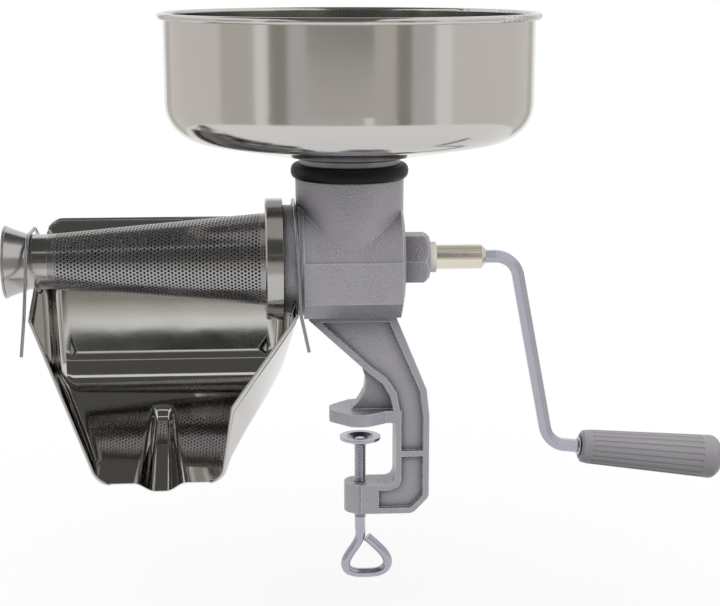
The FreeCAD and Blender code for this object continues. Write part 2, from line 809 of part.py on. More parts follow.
def make_bowl():
    # Spun bowl: dished floor, rounded corner, straight wall and rolled rim.
    hole, wall, rim = size("neck_radius - neck_sheet - 1"), size("bowl_radius"), size(BOWL_RIM)
    sheet_z, low = size("bowl_sheet / cos(bowl_slope)"), size(NECK_TOP) + 0.02
    rise = (wall - hole) * size("tan(bowl_slope)")
    inner = wall - size("bowl_sheet")
    inner_rise = rise * (inner - hole) / (wall - hole)
    corners = [Vector(hole, 0, low), Vector(wall, 0, low + rise), Vector(wall, 0, rim)]
    outside = rounded_path(corners, [size("bowl_corner")])
    low += sheet_z
    corners = [Vector(hole, 0, low), Vector(inner, 0, low + inner_rise), Vector(inner, 0, rim)]
    inside = rounded_path(corners, [size("bowl_corner - bowl_sheet")])
    ends = [
        Part.LineSegment(Vector(wall, 0, rim), Vector(inner, 0, rim)).toShape(),
        Part.LineSegment(Vector(hole, 0, low), Vector(hole, 0, low - sheet_z)).toShape(),
    ]
    section = Part.Face(Part.Wire(Part.sortEdges(outside.Edges + inside.Edges + ends)[0]))
    shell = section.revolve(Vector(0, 0, 0), Vector(0, 0, 1), 360)
    bead = Part.makeTorus(wall + size("rim_bead") - 0.3, size("rim_bead"), Vector(0, 0, rim))
    return place(solid_piece("hopper_bowl", shell.fuse(bead)), x="hopper_axis_x")


def make_neck():
    fit = "socket_bore - neck_clearance"
    shelf = f"{SOCKET_TOP} + gasket_height"
    inner = f"{fit} - neck_sheet"
    points = [
        (inner, NECK_TOP),
        ("neck_radius", NECK_TOP),
        ("neck_radius", shelf),
        (fit, shelf),
        (fit, f"{SOCKET_TOP} - neck_depth"),
        (inner, f"{SOCKET_TOP} - neck_depth"),
    ]
    return place(turned("hopper_neck", points), x="hopper_axis_x")


def make_gasket():
    inner = "socket_bore - neck_clearance + 0.05"
    high = f"{SOCKET_TOP} + gasket_height"
    points = [
        (inner, SOCKET_TOP),
        ("gasket_radius - 2.5", SOCKET_TOP),
        ("gasket_radius", f"{SOCKET_TOP} + 2.5"),
        ("gasket_radius", f"{high} - 3"),
        ("gasket_radius - 3.5", high),
        (inner, high),
    ]
    return place(turned("hopper_gasket", points), x="hopper_axis_x")


def make_pad():
    top = "pad_top"
    points = [
        ("rivet_radius + rivet_clearance", f"{top} - pad_dish"),
        ("pad_dish_radius", f"{top} - pad_dish"),
        ("pad_rim", top),
        ("pad_radius", top),
        ("pad_radius", f"{top} - pad_sheet"),
        ("pad_rim + 0.5", f"{top} - pad_sheet"),
        ("pad_dish_radius + 0.5", f"{top} - pad_dish - pad_sheet"),
        ("rivet_radius + rivet_clearance", f"{top} - pad_dish - pad_sheet"),
    ]
    return turned("clamp_pad", points)


def make_clamp_screw():
    # Screw with a peened end above and a bent wire loop to turn it by below.
    under = size("pad_top - pad_dish - pad_sheet") - 0.15
    over = size("pad_top - pad_dish") + 0.15
    radius, neck = size("screw_radius"), size("screw_neck")
    left, right, low = size("loop_left"), size("loop_right"), neck - size("loop_height")
    path = rounded_path(
        [
            Vector(0, 0, under),
            Vector(0, 0, neck),
            Vector(left, 0, low + 7),
            Vector(left + 13, 0, low),
            Vector(right - 7, 0, low + 3),
            Vector(right, 0, low + 14),
            Vector(right - 14.5, 0, neck - 2.5),
        ],
        [8, 6, 8, 8, 5.5],
    )
    bar = round_wire(path, radius)
    spigot = Part.makeCylinder(size("rivet_radius"), over - under + 0.5, Vector(0, 0, under - 0.2))
    head = Part.makeCone(size("rivet_head"), size("rivet_head") - 1.2, 1.5, Vector(0, 0, over))
    return solid_piece("clamp_screw", bar.fuse([spigot, head]).removeSplitter())


def tray_corners():
    # Outer corners of the bent sheet: back, fold, lip and front, left and right.
    left, right = size(FLARE) + 6.5, size(GROOVE) + 5
    out = size("tray_corner_out")
    back, fold = (size("tray_back"), size("tray_top")), (size("tray_fold_y"), size("tray_fold_z"))
    lip, front = (size("tray_lip_y"), size("tray_lip_z")), (size("tray_corner_y"), size("tray_corner_z"))
    fold_left, fold_right = left + size("tray_fold_left"), right - size("tray_fold_right")
    kink_z = size("tray_kink_z")
    share = (front[1] - kink_z) / (front[1] - lip[1])
    return {
        "back": (Vector(left, *back), Vector(right, *back)),
        "fold": (Vector(fold_left, *fold), Vector(fold_right, *fold)),
        "lip": (Vector(size("tray_lip_left"), *lip), Vector(size("tray_lip_right"), *lip)),
        "front": (Vector(left - out, *front), Vector(right + out, *front)),
        "kink": Vector(size("tray_kink_x"), front[0] + (lip[0] - front[0]) * share, kink_z),
    }


def sheet_panel(corners, inside):
    # A flat panel of the sheet, thickened towards a point inside the tray.
    face = Part.Face(Part.makePolygon(corners + corners[:1]))
    normal = face.normalAt(0, 0)
    normal = normal if normal.dot(inside - corners[0]) > 0 else -normal
    face.translate(normal * -0.2)
    return face.extrude(normal * (size("tray_sheet") + 0.2))


def with_channel(tray, at):
    # Sinks a pouring channel in the floor: a tube that dips below it towards the lip.
    fold, lip = (at["fold"][0] + at["fold"][1]) / 2, (at["lip"][0] + at["lip"][1]) / 2
    fold.x = lip.x
    down = (lip - fold).normalize()
    across = Vector(1, 0, 0)
    up = down.cross(across)
    up = up if up.z > 0 else -up
    wide, deep, sheet_width = size("channel_wide"), size("channel_depth"), size("tray_sheet")
    radius = (wide * wide + deep * deep) / (2 * deep)
    start = lip - down * size("channel_length")
    high = math.sqrt(radius * radius - size("channel_narrow") ** 2)
    first = start + up * (high + sheet_width)
    axis = lip + up * (radius - deep + sheet_width) - first
    length = axis.Length + wide
    inner = Part.makeCylinder(radius, length, first, axis)
    outer = Part.makeCylinder(radius + sheet_width, length, first, axis)
    side = across * (wide + 3)
    face = Part.Face(Part.makePolygon([start - side, start + side, lip + side, lip - side, start - side]))
    face.translate(up * sheet_width)
    slab = face.extrude(up * -(deep + 3 * sheet_width))
    return tray.cut(inner).fuse(outer.cut(inner).common(slab))


def make_tray():
    # Scoop of bent sheet with notches for the outlet neck and the collar, and a pouring channel.
    at = tray_corners()
    (back_l, back_r), (fold_l, fold_r) = at["back"], at["fold"]
    (lip_l, lip_r), (front_l, front_r) = at["lip"], at["front"]
    kink = at["kink"]
    inside = (back_l + back_r + fold_l + fold_r + lip_l + lip_r + front_l + front_r) / 8
    panels = [
        [back_l, back_r, fold_r, fold_l],
        [fold_l, fold_r, lip_r, lip_l],
        [back_l, fold_l, front_l],
        [front_l, fold_l, lip_l],
        [back_r, fold_r, front_r],
        [front_r, fold_r, kink],
        [kink, fold_r, lip_r],
    ]
    tray = [sheet_panel(p, inside) for p in panels]
    tray = tray[0].fuse(tray[1:])
    for x, outward in ((front_l.x, -1), (front_r.x, 1)):
        ear = Part.makeBox(size("ear_length") + 1, size("ear_depth"), size("ear_thickness"))
        start = x - 1 if outward > 0 else x - size("ear_length")
        ear.translate(Vector(start, front_l.y - 0.2, front_l.z - size("ear_thickness") - 0.6))
        tray = tray.fuse(ear)
    axis = Vector(0, 0, size("shaft_height"))
    gap, along = size("tray_clearance"), Vector(1, 0, 0)
    notches = []
    for radius, x in (("cone_small", back_l.x), ("groove_radius", back_r.x)):
        length = size("notch_length")
        start = axis + Vector(x - length / 2, 0, 0)
        notches.append(Part.makeCylinder(size(radius) + gap, length, start, along))
    hole, bend, depth = size("wire_radius") + 0.15, size("tray_round"), size("tray_back")
    for x, inward in ((back_l.x, 1), (back_r.x, -1)):
        pin = Vector(x - bend, size("pivot_y"), size("pivot_z"))
        notches.append(Part.makeCylinder(hole, 2 * bend, pin, along))
        near, low = x - bend * (0.8 if inward > 0 else 1), back_l.z - bend
        corner = Part.makeBox(1.8 * bend, 1.3 * depth, 1.3 * bend, Vector(near, 0.4 * depth, low))
        disc = Vector(x + inward * bend, 0.4 * depth, low)
        notches.append(corner.cut(Part.makeCylinder(bend, 1.3 * depth, disc, Vector(0, 1, 0))))
    tray = with_channel(tray.cut(notches), at)
    return solid_piece("drip_tray", tray.removeSplitter())


def make_clip(label, x, side, half, top, foot, tail):
    # Wire clip: pivot pin through the tray, hoop over the neck, front leg and tail.
    pivot = Vector(x, size("pivot_y"), size("pivot_z"))
    points = [
        pivot - Vector(side * 5, 0, 0),
        pivot,
        Vector(x, half, top),
        Vector(x, -half, top),
        foot,
        tail,
    ]
    bend = min(half * 0.8, size("clip_bend"))
    path = rounded_path(points, [2 * size("wire_radius"), bend, bend, bend * 0.4])
    return solid_piece(label, round_wire(path, size("wire_radius")))


def make_outlet_clip():
    x = tray_corners()["front"][0].x - 2.2
    reach = size("wire_radius + wire_clearance")
    top = size("shaft_height + cone_small") + reach
    front = size("tray_corner_y") - reach - 0.5
    foot = Vector(x - 1, front, size("tray_corner_z") + 1)
    tail = foot + Vector(-2.5, -1, -size("wire_tail"))
    return make_clip("outlet_clip", x, -1, size("cone_small") + reach + 0.5, top, foot, tail)


def make_collar_clip():
    x = tray_corners()["back"][1].x + 2.2
    reach = size("wire_radius + wire_clearance")
    top = size("shaft_height + groove_radius") + reach
    front = size("tray_corner_y") - reach - 0.5
    foot = Vector(tray_corners()["front"][1].x + 2.4, front, size("tray_corner_z") + 1)
    tail = foot + Vector(5, -1, -size("wire_tail"))
    return make_clip("collar_clip", x, 1, size("groove_radius") + reach + 0.5, top, foot, tail)


def check_and_write(pieces):
    doc.recompute()
    for thing in doc.Objects:
        if {"Invalid", "Error"} & set(thing.State):
            raise RuntimeError(f"{thing.Name} failed: {thing.State}")
    os.makedirs("parts", exist_ok=True)
    for piece in pieces:
        shape = piece.Shape
        if shape.isNull() or not shape.isValid() or not shape.Solids:
            raise RuntimeError(f"{piece.Label} has no valid solid")
        shape.exportStep(f"parts/{piece.Label}.step")
        print(piece.Label, len(shape.Solids), round(shape.Volume))


check_and_write(
    [
        make_body_casting(),
        make_bush(),
        make_thrust_washer(),
        make_drive_shaft(),
        make_set_screw(),
        make_auger(),
        make_crank_arm(),
        make_grip_washer(),
        make_retainer(),
        make_grip(),
        make_screen_ring(),
        make_seal(),
        make_screen_cone(),
        make_outlet(),
        make_bowl(),
        make_neck(),
        make_gasket(),
        make_pad(),
        make_clamp_screw(),
        make_tray(),
        make_outlet_clip(),
        make_collar_clip(),
    ]
)
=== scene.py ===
import bmesh
import bpy
import math
from mathutils import Euler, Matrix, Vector


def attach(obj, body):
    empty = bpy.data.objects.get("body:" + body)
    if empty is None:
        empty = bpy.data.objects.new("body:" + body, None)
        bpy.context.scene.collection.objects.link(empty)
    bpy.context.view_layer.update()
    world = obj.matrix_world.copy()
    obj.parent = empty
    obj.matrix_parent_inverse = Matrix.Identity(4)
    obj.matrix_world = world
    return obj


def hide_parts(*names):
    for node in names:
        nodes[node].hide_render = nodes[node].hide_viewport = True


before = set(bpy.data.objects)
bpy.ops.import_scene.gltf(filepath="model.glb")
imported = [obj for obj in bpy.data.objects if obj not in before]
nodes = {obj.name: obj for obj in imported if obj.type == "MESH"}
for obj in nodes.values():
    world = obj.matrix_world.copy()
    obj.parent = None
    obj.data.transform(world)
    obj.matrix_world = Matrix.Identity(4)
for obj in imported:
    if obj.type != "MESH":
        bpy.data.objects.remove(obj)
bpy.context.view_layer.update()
scene = bpy.context.scene
scene.view_settings.view_transform = "Standard"
mm = 0.001  # pieces are sized in millimetres; the camera, the cards, the floor and the lamps in metres
shaftZ = 112.0  # height of the shaft's axis


# node groups that several finishes share

def newGroup(name, inputs, outputs):
    group = bpy.data.node_groups.new(name, "ShaderNodeTree")
    for socketName, kind, value in inputs:
        socket = group.interface.new_socket(socketName, in_out="INPUT", socket_type=kind)
        socket.default_value = value
    for socketName, kind in outputs:
        group.interface.new_socket(socketName, in_out="OUTPUT", socket_type=kind)
    start = group.nodes.new("NodeGroupInput")
    end = group.nodes.new("NodeGroupOutput")
    return group, start, end


def makeSmudgeGroup():
    # soft handling marks: a mottled colour and a roughness that wanders round a middle value
    group, start, end = newGroup(
        "handlingMarks",
        [("Scale", "NodeSocketFloat", 30.0), ("Light", "NodeSocketColor", (1, 1, 1, 1)),
         ("Dark", "NodeSocketColor", (0.5, 0.5, 0.5, 1)), ("RoughLow", "NodeSocketFloat", 0.2),
         ("RoughHigh", "NodeSocketFloat", 0.35)],
        [("Color", "NodeSocketColor"), ("Roughness", "NodeSocketFloat")],
    )
    coords = group.nodes.new("ShaderNodeTexCoord")
    noise = group.nodes.new("ShaderNodeTexNoise")
    noise.inputs["Detail"].default_value = 5
    noise.inputs["Roughness"].default_value = 0.6
    mix = group.nodes.new("ShaderNodeMix")
    mix.data_type = "RGBA"
    spread = group.nodes.new("ShaderNodeMapRange")
    spread.inputs["From Min"].default_value = 0.3
    spread.inputs["From Max"].default_value = 0.7
    group.links.new(coords.outputs["Object"], noise.inputs["Vector"])
    group.links.new(start.outputs["Scale"], noise.inputs["Scale"])
    group.links.new(noise.outputs["Fac"], mix.inputs["Factor"])
    group.links.new(start.outputs["Dark"], mix.inputs["A"])
    group.links.new(start.outputs["Light"], mix.inputs["B"])
    group.links.new(noise.outputs["Fac"], spread.inputs["Value"])
    group.links.new(start.outputs["RoughLow"], spread.inputs["To Min"])
    group.links.new(start.outputs["RoughHigh"], spread.inputs["To Max"])
    group.links.new(mix.outputs["Result"], end.inputs["Color"])
    group.links.new(spread.outputs["Result"], end.inputs["Roughness"])
    return group


def makeGrainGroup():
    # stretched grain for drawn, spun or turned metal, and round grain for castings
    group, start, end = newGroup(
        "surfaceGrain",
        [("Stretch", "NodeSocketVector", (1, 1, 1)), ("Scale", "NodeSocketFloat", 400.0)],
        [("Height", "NodeSocketFloat")],
    )
    coords = group.nodes.new("ShaderNodeTexCoord")
    stretch = group.nodes.new("ShaderNodeVectorMath")
    stretch.operation = "MULTIPLY"
    noise = group.nodes.new("ShaderNodeTexNoise")
    noise.inputs["Detail"].default_value = 3
    group.links.new(coords.outputs["Object"], stretch.inputs[0])
    group.links.new(start.outputs["Stretch"], stretch.inputs[1])
    group.links.new(stretch.outputs["Vector"], noise.inputs["Vector"])
    group.links.new(start.outputs["Scale"], noise.inputs["Scale"])
    group.links.new(noise.outputs["Fac"], end.inputs["Height"])
    return group


def makeEdgeGroup():
    # rounds the shading over sharp edges, and gives masks for a painted highlight along those edges and for
    # painted shade in the hollows
    group, start, end = newGroup(
        "softEdges",
        [("Radius", "NodeSocketFloat", 0.001), ("Gain", "NodeSocketFloat", 6.0),
         ("Depth", "NodeSocketFloat", 0.02)],
        [("Normal", "NodeSocketVector"), ("Mask", "NodeSocketFloat"), ("HollowShade", "NodeSocketFloat")],
    )
    samples = 6
    # ambient occlusion marks the hollows, where the finishes paint shade
    openness = group.nodes.new("ShaderNodeAmbientOcclusion")
    openness.samples = samples
    hollowShade = group.nodes.new("ShaderNodeMapRange")
    hollowShade.inputs["From Min"].default_value = 0.95
    hollowShade.inputs["From Max"].default_value = 0.45
    # where the bevelled normal turns from the true one, the finishes paint a highlight along the edge
    bevel = group.nodes.new("ShaderNodeBevel")
    bevel.samples = samples
    surface = group.nodes.new("ShaderNodeNewGeometry")
    agree = group.nodes.new("ShaderNodeVectorMath")
    agree.operation = "DOT_PRODUCT"
    differ = group.nodes.new("ShaderNodeMath")
    differ.operation = "SUBTRACT"
    differ.inputs[0].default_value = 1.0
    edgeHighlight = group.nodes.new("ShaderNodeMath")
    edgeHighlight.operation = "MULTIPLY"
    edgeHighlight.use_clamp = True
    group.links.new(start.outputs["Depth"], openness.inputs["Distance"])
    group.links.new(openness.outputs["AO"], hollowShade.inputs["Value"])
    group.links.new(hollowShade.outputs["Result"], end.inputs["HollowShade"])
    group.links.new(start.outputs["Radius"], bevel.inputs["Radius"])
    group.links.new(bevel.outputs["Normal"], agree.inputs[0])
    group.links.new(surface.outputs["Normal"], agree.inputs[1])
    group.links.new(agree.outputs["Value"], differ.inputs[1])
    group.links.new(differ.outputs["Value"], edgeHighlight.inputs[0])
    group.links.new(start.outputs["Gain"], edgeHighlight.inputs[1])
    group.links.new(bevel.outputs["Normal"], end.inputs["Normal"])
    group.links.new(edgeHighlight.outputs["Value"], end.inputs["Mask"])
    return group


smudges = makeSmudgeGroup()
grain = makeGrainGroup()
edges = makeEdgeGroup()


def makeFinish(name, light, dark, rough, metallic, smudgeScale=30.0, grainScale=400.0, stretch=(1, 1, 1),
               bump=0.05, distance=0.0002, roundEdge=0.0, edgeHighlightTone=None, hollowShadeTone=None, specular=0.5):
    mat = bpy.data.materials.new(name)
    mat.use_nodes = True
    tree = mat.node_tree
    shader = tree.nodes["Principled BSDF"]
    shader.inputs["Metallic"].default_value = metallic
    shader.inputs["Specular IOR Level"].default_value = specular
    marks = tree.nodes.new("ShaderNodeGroup")
    marks.node_tree = smudges
    marks.inputs["Scale"].default_value = smudgeScale
    marks.inputs["Light"].default_value = (*light, 1)
    marks.inputs["Dark"].default_value = (*dark, 1)
    marks.inputs["RoughLow"].default_value = rough[0]
    marks.inputs["RoughHigh"].default_value = rough[1]
    skin = tree.nodes.new("ShaderNodeGroup")
    skin.node_tree = grain
    skin.inputs["Stretch"].default_value = stretch
    skin.inputs["Scale"].default_value = grainScale
    relief = tree.nodes.new("ShaderNodeBump")
    relief.inputs["Strength"].default_value = bump
    relief.inputs["Distance"].default_value = distance
    colour = marks.outputs["Color"]
    tree.links.new(marks.outputs["Roughness"], shader.inputs["Roughness"])
    tree.links.new(skin.outputs["Height"], relief.inputs["Height"])
    if roundEdge > 0:
        rounded = tree.nodes.new("ShaderNodeGroup")
        rounded.node_tree = edges
        rounded.inputs["Radius"].default_value = roundEdge * mm
        tree.links.new(rounded.outputs["Normal"], relief.inputs["Normal"])
        # paints shade over the hollows and a highlight along the edges into the base colour
        for tone, mask in ((hollowShadeTone, "HollowShade"), (edgeHighlightTone, "Mask")):
            if tone:
                paintedLight = tree.nodes.new("ShaderNodeMix")
                paintedLight.data_type = "RGBA"
                paintedLight.inputs["B"].default_value = (*tone, 1)
                tree.links.new(rounded.outputs[mask], paintedLight.inputs["Factor"])
                tree.links.new(colour, paintedLight.inputs["A"])
                colour = paintedLight.outputs["Result"]
    tree.links.new(colour, shader.inputs["Base Color"])
    tree.links.new(relief.outputs["Normal"], shader.inputs["Normal"])
    return mat


# each finish has its light and dark tone, its range of roughness and how metallic it is
finishes = {
    # the casting's light edge tone is a painted highlight along its edges, and its near-black hollow tone is
    # painted shade in its recesses
    "casting": makeFinish("greyCastPaint", (0.41, 0.396, 0.436), (0.305, 0.295, 0.328), (0.22, 0.36), 0.5,
                          smudgeScale=26, grainScale=820, bump=1.0, distance=0.0006, roundEdge=0.9,
                          edgeHighlightTone=(0.70, 0.69, 0.72), hollowShadeTone=(0.11, 0.106, 0.115)),
    "bowl": makeFinish("spunSteel", (0.60, 0.585, 0.565), (0.54, 0.525, 0.505), (0.1, 0.16), 1.0,
                       smudgeScale=9, grainScale=60, stretch=(0.02, 0.02, 30), bump=0.02),
    "tray": makeFinish("mirrorSheet", (0.60, 0.59, 0.575), (0.53, 0.52, 0.505), (0.03, 0.07), 1.0,
                       smudgeScale=12, grainScale=22, bump=0.06, distance=0.0004),
    "screen": makeFinish("satinSheet", (0.40, 0.392, 0.393), (0.29, 0.284, 0.287), (0.16, 0.26), 1.0,
                         smudgeScale=40, grainScale=120, stretch=(1, 6, 6), bump=0.03, roundEdge=0.4),
    "horn": makeFinish("spunHorn", (0.50, 0.487, 0.474), (0.42, 0.409, 0.398), (0.14, 0.22), 1.0,
                       smudgeScale=40, grainScale=160, stretch=(20, 1, 1), bump=0.04, roundEdge=0.3),
    "zinc": makeFinish("brightZinc", (0.47, 0.47, 0.53), (0.39, 0.39, 0.45), (0.16, 0.26), 1.0,
                       smudgeScale=60, grainScale=500, bump=0.04, roundEdge=0.5),
    "wire": makeFinish("drawnWire", (0.40, 0.40, 0.41), (0.30, 0.30, 0.31), (0.22, 0.32), 1.0,
                       smudgeScale=120, grainScale=600, bump=0.05),
    "sleeve": makeFinish("yellowPassivate", (0.77, 0.73, 0.635), (0.68, 0.64, 0.545), (0.13, 0.2), 1.0,
                         smudgeScale=60, grainScale=700, stretch=(20, 1, 1), bump=0.06, roundEdge=0.4),
    "nylon": makeFinish("naturalNylon", (0.82, 0.80, 0.74), (0.74, 0.72, 0.66), (0.4, 0.5), 0.0,
                        smudgeScale=50, grainScale=900, bump=0.03, roundEdge=0.3),
    # the auger's nylon is kept near black partly as painted shade, so that the screen's holes read dark
    "auger": makeFinish("nylonDarkAsShade", (0.035, 0.035, 0.038), (0.02, 0.02, 0.022), (0.45, 0.6), 0.0,
                        smudgeScale=50, grainScale=900, bump=0.03),
    "rubber": makeFinish("blackRubber", (0.006, 0.006, 0.007), (0.003, 0.003, 0.0035), (0.34, 0.5), 0.0,
                         smudgeScale=60, grainScale=700, bump=0.08, specular=0.2),
    # the grip's dark hollow tone is painted shade in its flutes
    "grip": makeFinish("satinGreyGrip", (0.25, 0.24, 0.253), (0.20, 0.191, 0.203), (0.34, 0.44), 0.0,
                       smudgeScale=30, grainScale=900, bump=0.06, roundEdge=0.35,
                       hollowShadeTone=(0.07, 0.066, 0.07)),
    "neck": makeFinish("darkGreyNeck", (0.29, 0.285, 0.305), (0.22, 0.215, 0.232), (0.26, 0.38), 0.6,
                       smudgeScale=40, grainScale=300, bump=0.05, roundEdge=0.3),
}
print("finishes made:", len(finishes))

nodeFinish = {
    "body_casting": "casting", "shaft_bush": "nylon", "thrust_washer": "nylon", "drive_shaft": "sleeve",
    "crank_set_screw": "zinc", "auger": "auger", "crank_arm": "zinc", "grip_washer": "zinc",
    "grip_retainer": "zinc", "crank_grip": "grip", "screen_ring": "horn", "screen_seal": "rubber",
    "screen_cone": "screen", "screen_outlet": "horn", "hopper_bowl": "bowl", "hopper_neck": "neck",
    "hopper_gasket": "rubber", "clamp_pad": "zinc", "clamp_screw": "zinc", "drip_tray": "tray",
    "outlet_clip": "wire", "collar_clip": "wire",
}
for nodeName, finishName in nodeFinish.items():
    data = nodes[nodeName].data
    data.materials.clear()
    data.materials.append(finishes[finishName])
print("CAD nodes dressed:", len(nodeFinish))


# helpers for new meshes

mergeGap = 0.005  # points closer than this become one


def newPiece(name, verts, faces, finish, body, smoothAngle=35):
    data = bpy.data.meshes.new(name)
    data.from_pydata([tuple(v) for v in verts], [], faces)
    data.materials.append(finishes[finish])
    mesh = bmesh.new()
    mesh.from_mesh(data)
    bmesh.ops.remove_doubles(mesh, verts=mesh.verts, dist=mergeGap * mm)
    bmesh.ops.recalc_face_normals(mesh, faces=mesh.faces)
    mesh.to_mesh(data)
    mesh.free()
    data.shade_smooth()
    data.set_sharp_from_angle(angle=math.radians(smoothAngle))
    piece = bpy.data.objects.new(name, data)
    scene.collection.objects.link(piece)
    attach(piece, body)
    return piece


def ringFaces(rings, steps):
    # quads between rings of points, each ring closed on itself
    faces = []
    for r in range(rings - 1):
        for i in range(steps):
            j = (i + 1) % steps
            faces.append((r * steps + i, r * steps + j, (r + 1) * steps + j, (r + 1) * steps + i))
    return faces


def addPart(verts, faces, partVerts, partFaces):
    # adds one more stretch of surface to a mesh's lists
    offset = len(verts)
    verts += partVerts
    faces += [tuple(v + offset for v in face) for face in partFaces]


def latheAlongX(rows, steps=96):
    # rows of (x, radius) turned about the shaft
    verts = []
    for x, radius in rows:
        for i in range(steps):
            a = 2 * math.pi * i / steps
            verts.append((x * mm, radius * math.cos(a) * mm, (shaftZ + radius * math.sin(a)) * mm))
    return verts, ringFaces(len(rows), steps)


def latheAboutZ(rows, axisX=0.0, steps=96):
    # rows of (radius, z) turned about an upright axis
    verts = []
    for radius, z in rows:
        for i in range(steps):
            a = 2 * math.pi * i / steps
            verts.append(((axisX + radius * math.cos(a)) * mm, radius * math.sin(a) * mm, z * mm))
    return verts, ringFaces(len(rows), steps)


# perforated cone: an even pattern of real holes in a rolled sheet, with its lapped seam at the back
cone = {
    "large": 30.9, "small": 18.2, "start": -62.0, "length": 143.5, "flange": 37.0, "flangeThick": 0.8,
    "pitch": 2.62, "hole": 0.77, "depth": 0.8, "plainStart": 2.6, "plainEnd": 2.6,
    "bandProud": 0.05, "bandDepth": 0.9,
    "lap": 0.25, "lapFrom": 0.9,  # the lap rises over the last tenth of the half turn
    "seamCells": 0.2,  # share of a pitch by which cells may pass the seam
}


def coneRadius(x):
    return cone["large"] + (cone["small"] - cone["large"]) * (cone["start"] - x) / cone["length"]


def makeCone():
    tilt = math.atan((cone["large"] - cone["small"]) / cone["length"])
    sinTilt, cosTilt = math.sin(tilt), math.cos(tilt)
    outer, inner = cone["large"] / sinTilt, cone["small"] / sinTilt  # the flat sheet's edges, from the apex
    pitch, rowStep = cone["pitch"], cone["pitch"] * math.sqrt(3) / 2

    def at(u, v, sink=0.0):
        # rolls a point of the flat sheet up into the cone
        reach = math.hypot(u, v)
        turn = math.atan2(v, u) / sinTilt
        lift = cone["lap"] * max(0.0, (turn / math.pi - cone["lapFrom"]) / (1 - cone["lapFrom"]))
        radius = reach * sinTilt - sink + lift
        x = cone["start"] - (outer - reach) * cosTilt
        return (x * mm, -radius * math.cos(turn) * mm, (shaftZ + radius * math.sin(turn)) * mm)

    cellPoints = 12  # six corners of a cell and the middles between them
    angles = [2 * math.pi * k / cellPoints for k in range(cellPoints)]
    rim = []
    for k, a in enumerate(angles):
        reach = pitch / math.sqrt(3) if k % 2 == 0 else pitch / 2
        rim.append((reach * math.cos(a), reach * math.sin(a)))
    hole = [(cone["hole"] * math.cos(a), cone["hole"] * math.sin(a)) for a in angles]
    cellFaces = ringFaces(3, cellPoints)  # from the cell's rim to the hole, and down its wall
    verts, faces, made = [], [], 0
    rowCount, halfRow = int(outer / rowStep) + 1, int(outer / pitch)
    for i in range(rowCount):
        for j in range(-halfRow, halfRow + 1):
            u, v = i * rowStep, (j + 0.5 * (i % 2)) * pitch
            reach = math.hypot(u, v)
            if not inner + cone["plainEnd"] < reach < outer - cone["plainStart"]:
                continue
            if abs(math.atan2(v, u)) > math.pi * sinTilt + cone["seamCells"] * pitch / reach:
                continue
            cell = [at(u + a, v + b) for a, b in rim]
            cell += [at(u + a, v + b) for a, b in hole]
            cell += [at(u + a, v + b, cone["depth"]) for a, b in hole]
            addPart(verts, faces, cell, cellFaces)
            made += 1
    # plain bands at both ends, and the flange that the ring holds
    start, end = cone["start"], cone["start"] - cone["length"]
    near = start - cone["plainStart"] - rowStep
    far = end + cone["plainEnd"] + rowStep
    proud, depth = cone["bandProud"], cone["bandDepth"]
    bands = [
        [(start + cone["flangeThick"], cone["flange"]), (start, cone["flange"]),
         (start, cone["large"] + proud), (near, coneRadius(near) + proud), (near, coneRadius(near) - depth)],
        [(far, coneRadius(far) - depth), (far, coneRadius(far) + proud), (end, cone["small"])],
    ]
    for rows in bands:
        addPart(verts, faces, *latheAlongX(rows))
    piece = newPiece("perforatedCone", verts, faces, "screen", "screen")
    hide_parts("screen_cone")
    print("perforated cone:", made, "holes")


makeCone()


# drip tray: one bent sheet with rounded folds, a pouring channel, a hemmed edge and two notched walls
tray = {
    "backL": (-212, 46, 133), "backR": (-46.5, 46, 133),
    "foldL": (-207, 30, 24.7), "foldR": (-54, 30, 24.7),
    "lipL": (-174.4, -48, -27), "lipR": (-94, -48, -27),
    "frontL": (-215, -40, 81), "frontR": (-43.5, -40, 81), "kinkR": (-86.6, -44.4, 22),
    "sheet": 0.9, "hem": 1.0, "hemRound": 3,
    "sideRound": 9.0, "wallShare": 0.5, "legShare": 0.49, "leastWall": 0.5, "leastBend": 0.01,
    "foldRound": 18.0, "foldPull": 0.203, "inward": (0, -0.844, 0.537),  # out of the fold, into the tray
    "topRound": 11.0, "topMargin": 6.0, "backFrom": 20.0, "lipRound": 8.0,
    "neckNotch": 18.9, "collarNotch": 36.7, "notchStep": 0.25, "notchTries": 400,
    "channelStart": 0.28, "channelEase": 0.16, "channelFlat": 3.6, "channelNarrow": 7.0,
    "channelWide": 17.5, "channelDepth": 8.6, "channelShallow": 0.35,
    "backSteps": 64, "floorSteps": 56, "lipSteps": 8, "wallSteps": 6, "bendSteps": 5, "floorColumns": 90,
}


def roundCorner(before, corner, after, reach):
    # points of a soft bend that leaves both legs at the same reach, or nearer on a short leg
    ends = []
    for other in (before, after):
        leg = other - corner
        ends.append(corner + leg.normalized() * min(reach, leg.length * tray["legShare"]))
    a, b = ends
    points = []
    for i in range(tray["bendSteps"] + 1):
        t = i / tray["bendSteps"]
        points.append(a * (1 - t) ** 2 + corner * 2 * t * (1 - t) + b * t ** 2)
    return points


def sideBend(before, corner, after, wall):
    # the bend between the sheet and a side wall, or none where the wall has run out
    if wall <= tray["leastWall"]:
        return [corner] * (tray["bendSteps"] + 1)
    reach = min(tray["sideRound"], wall * tray["wallShare"] + tray["leastBend"])
    return roundCorner(before, corner, after, reach)


def clearOfNotch(point, towards, radius):
    # moves a wall's free edge out of the round notch, along the wall
    step = (towards - point).normalized() * tray["notchStep"]
    for i in range(tray["notchTries"]):
        if (point - Vector((point.x, 0, shaftZ))).length >= radius:
            break
        point = point + step
    return point


